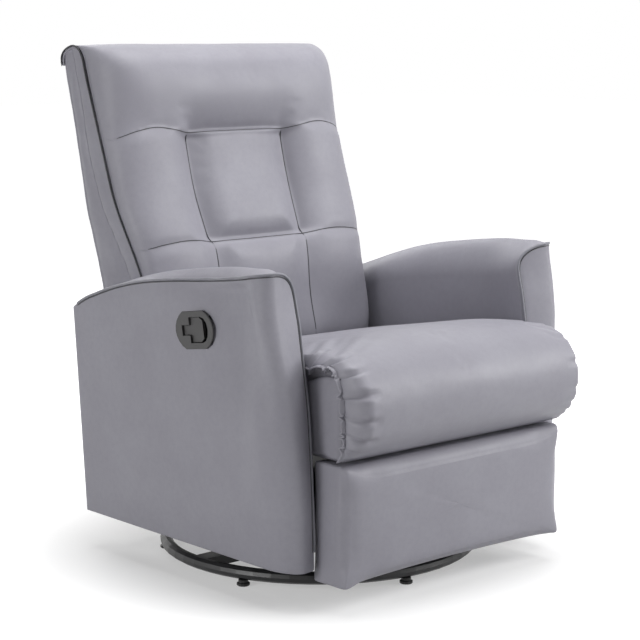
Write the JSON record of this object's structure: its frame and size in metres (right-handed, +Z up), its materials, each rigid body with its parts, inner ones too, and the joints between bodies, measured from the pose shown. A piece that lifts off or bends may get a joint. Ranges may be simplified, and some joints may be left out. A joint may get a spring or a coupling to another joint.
{
  "type": "swivel glider recliner",
  "caption": "Upholstered armchair with a reclining back, a fold-out footrest released by a recessed latch handle, and a gliding seat on a swivelling round floor ring.",
  "frame": {"origin": "on the floor, under the middle of the chair's outer sizes", "axes": "+Z up; the sitter faces -Y; +X is the sitter's left, so the latch handle is on the -X arm"},
  "size_m": [0.7686, 0.8928, 1.0292],
  "materials": {
    "grey_leather": "satin",
    "black_steel": "satin",
    "zinc_steel": "satin",
    "spring_steel": "satin",
    "plywood": "matte",
    "black_plastic": "satin",
    "black_glide": "matte"
  },
  "bodies": {
    "frame": {"arm_left": "grey_leather", "arm_right": "grey_leather", "cross_tube": "black_steel", "glide_rail_left": "black_steel", "glide_rail_right": "black_steel", "handle_bezel": "black_plastic", "mechanism_rail_left": "black_steel", "mechanism_rail_right": "black_steel", "rear_apron": "grey_leather", "rear_rail": "plywood"},
    "back": {"back_board": "plywood", "back_bracket_left": "black_steel", "back_bracket_right": "black_steel", "back_cover": "grey_leather", "back_cushion": "grey_leather"},
    "drive": {"back_drive_link_left": "zinc_steel", "back_drive_link_right": "zinc_steel"},
    "base": {"base_ring": "black_steel", "base_spider": "black_steel", "floor_glide_1": "black_glide", "floor_glide_2": "black_glide", "floor_glide_3": "black_glide", "floor_glide_4": "black_glide", "floor_glide_5": "black_glide", "floor_glide_6": "black_glide", "swivel_race": "zinc_steel"},
    "brace": {"brace_link_left": "zinc_steel", "brace_link_right": "zinc_steel"},
    "carry": {"carry_link_left": "zinc_steel", "carry_link_right": "zinc_steel"},
    "fold": {"fold_link_left": "zinc_steel", "fold_link_right": "zinc_steel", "torque_tube": "black_steel"},
    "footrest": {"footrest_bracket_left": "black_steel", "footrest_bracket_right": "black_steel", "footrest_pad": "grey_leather"},
    "swivel": {"glide_bracket_left": "black_steel", "glide_bracket_right": "black_steel", "swivel_plate": "zinc_steel"},
    "glide_front": {"glide_link_front_left": "zinc_steel", "glide_link_front_right": "zinc_steel"},
    "glide_rear": {"glide_link_rear_left": "zinc_steel", "glide_link_rear_right": "zinc_steel"},
    "guide": {"guide_link_left": "zinc_steel", "guide_link_right": "zinc_steel"},
    "handle": {"handle_paddle": "black_plastic"},
    "seat": {"seat_cushion": "grey_leather", "seat_front_block": "grey_leather", "seat_plate_left": "black_steel", "seat_plate_right": "black_steel", "seat_rail_left": "plywood", "seat_rail_rear": "plywood", "seat_rail_right": "plywood", "seat_spring_1": "spring_steel", "seat_spring_2": "spring_steel", "seat_spring_3": "spring_steel"},
    "swing_front": {"swing_link_front_left": "zinc_steel", "swing_link_front_right": "zinc_steel"},
    "swing_rear": {"swing_link_rear_left": "zinc_steel", "swing_link_rear_right": "zinc_steel"}
  },
  "joints": [
    {"name": "swivel", "type": "hinge", "parent": "base", "child": "swivel", "pos_m": [0, 0.00185, 0.0414], "axis": [0, 0, 1], "continuous": true},
    {"name": "glide", "type": "hinge", "parent": "swivel", "child": "glide_front", "pos_m": [0, -0.06065, 0.185], "axis": [1, 0, 0], "range_deg": [-15, 15]},
    {"name": "glide_rear_link", "type": "hinge", "parent": "swivel", "child": "glide_rear", "pos_m": [0, 0.06435, 0.185], "axis": [1, 0, 0], "range_deg": [-15, 15]},
    {"name": "glide_hang", "type": "hinge", "parent": "glide_front", "child": "frame", "pos_m": [0, -0.06065, 0.082], "axis": [1, 0, 0], "range_deg": [-15, 15]},
    {"name": "handle", "type": "hinge", "parent": "frame", "child": "handle", "pos_m": [-0.37595, -0.04876, 0.49873], "axis": [0.0386, -0.1392, -0.9895], "range_deg": [0, 35], "stiffness_Nm_per_rad": 0.25},
    {"name": "recline", "type": "hinge", "parent": "seat", "child": "back", "pos_m": [0, 0.20485, 0.33], "axis": [-1, 0, 0], "range_deg": [0, 38]},
    {"name": "swing_front_link", "type": "hinge", "parent": "frame", "child": "swing_front", "pos_m": [0, -0.03015, 0.1726], "axis": [1, 0, 0], "range_deg": [0, 40.1]},
    {"name": "swing_rear_link", "type": "hinge", "parent": "frame", "child": "swing_rear", "pos_m": [0, 0.12985, 0.1726], "axis": [1, 0, 0], "range_deg": [0, 40.1]},
    {"name": "seat_level", "type": "hinge", "parent": "swing_front", "child": "seat", "pos_m": [0, -0.0045, 0.24308], "axis": [1, 0, 0], "range_deg": [-40.1, 0]},
    {"name": "drive_level", "type": "hinge", "parent": "swing_rear", "child": "drive", "pos_m": [0, 0.16918, 0.28066], "axis": [1, 0, 0], "range_deg": [-40.1, 0]},
    {"name": "footrest_fold", "type": "hinge", "parent": "seat", "child": "fold", "pos_m": [0, -0.16159, 0.20717], "axis": [-1, 0, 0], "range_deg": [0, 82]},
    {"name": "footrest_carry", "type": "hinge", "parent": "fold", "child": "carry", "pos_m": [0, -0.07048, 0.08801], "axis": [-1, 0, 0], "range_deg": [-82, 0]},
    {"name": "footrest_turn", "type": "hinge", "parent": "carry", "child": "footrest", "pos_m": [0, -0.29815, 0.251], "axis": [-1, 0, 0], "range_deg": [0, 82]},
    {"name": "footrest_guide", "type": "hinge", "parent": "seat", "child": "guide", "pos_m": [0, -0.22989, 0.25607], "axis": [-1, 0, 0], "range_deg": [0, 82]},
    {"name": "footrest_brace", "type": "hinge", "parent": "guide", "child": "brace", "pos_m": [0, -0.10841, 0.09718], "axis": [-1, 0, 0], "range_deg": [-82, 0]}
  ],
  "couplings": [
    {"joint": "glide_rear_link", "follows": "glide", "ratio": 1},
    {"joint": "glide_hang", "follows": "glide", "ratio": -1},
    {"joint": "swing_front_link", "follows": "recline", "ratio": 1.0526},
    {"joint": "swing_rear_link", "follows": "recline", "ratio": 1.0526},
    {"joint": "seat_level", "follows": "recline", "ratio": -1.0526},
    {"joint": "drive_level", "follows": "recline", "ratio": -1.0526},
    {"joint": "footrest_carry", "follows": "footrest_fold", "ratio": -1},
    {"joint": "footrest_turn", "follows": "footrest_fold", "ratio": 1},
    {"joint": "footrest_guide", "follows": "footrest_fold", "ratio": 1},
    {"joint": "footrest_brace", "follows": "footrest_fold", "ratio": -1}
  ]
}
